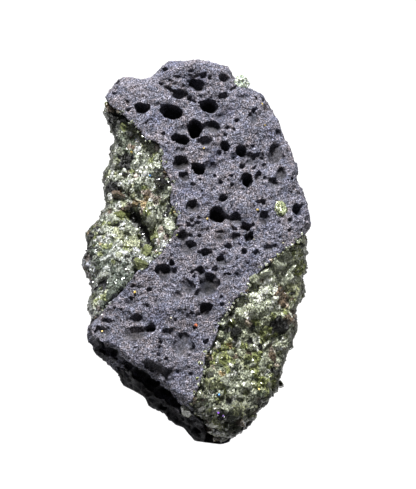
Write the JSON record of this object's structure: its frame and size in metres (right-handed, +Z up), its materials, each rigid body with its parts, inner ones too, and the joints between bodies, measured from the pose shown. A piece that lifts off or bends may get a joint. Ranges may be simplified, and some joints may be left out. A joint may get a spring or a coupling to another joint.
{
  "type": "olivine basalt specimen",
  "caption": "Hand-sized piece of dark vesicular basalt with two granular green olivine nodules set into its flanks.",
  "frame": {"origin": "middle of the stone's box, on the surface it rests on", "axes": "+Y along the long axis towards the end with the raised lump, +Z up through the pitted best side, +X towards the flank that has the single grain near its edge"},
  "size_m": [0.0684, 0.1198, 0.0433],
  "materials": {
    "basalt": "matte",
    "olivine_nodule": "satin",
    "olivine_grain": "gloss"
  },
  "bodies": {
    "root": {"basalt": "basalt", "olivine_nodule_left": "olivine_nodule", "olivine_nodule_right": "olivine_nodule", "olivine_grain_face": "olivine_grain", "olivine_grain_top": "olivine_grain"}
  },
  "joints": []
}
